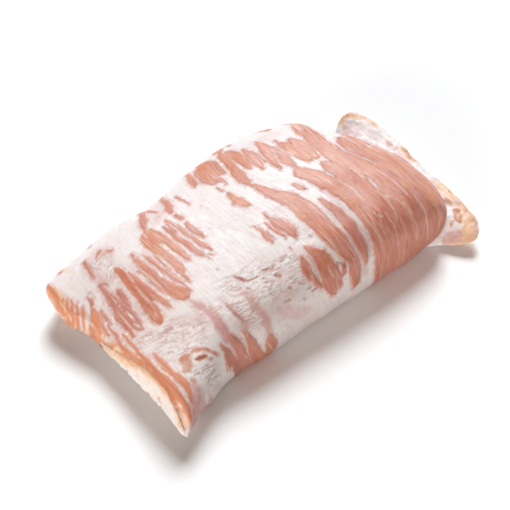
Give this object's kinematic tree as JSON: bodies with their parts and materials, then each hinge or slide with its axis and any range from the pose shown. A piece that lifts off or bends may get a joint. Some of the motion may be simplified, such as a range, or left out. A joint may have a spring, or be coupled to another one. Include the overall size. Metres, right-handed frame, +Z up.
{
  "type": "pork cheek",
  "caption": "Raw skinless slab of pork cheek, marbled lean on top of a fat layer that shows at the cut end and as a flap at the other end.",
  "frame": {"origin": "middle of the underside's bounding box, on the plane that the slab rests on", "axes": "+X along the slab from the cut end to the flap, +Y across it to the back, +Z up out of the marbled face"},
  "size_m": [0.2224, 0.1322, 0.0478],
  "materials": {
    "lean": "raw pork, soft pink-brown lean striped with creamy white marbling, moist satin",
    "fat": "raw pork fat, creamy white with a faint pink, moist satin"
  },
  "bodies": {
    "root": {"lean": "lean", "fat_layer": "fat"}
  },
  "joints": []
}
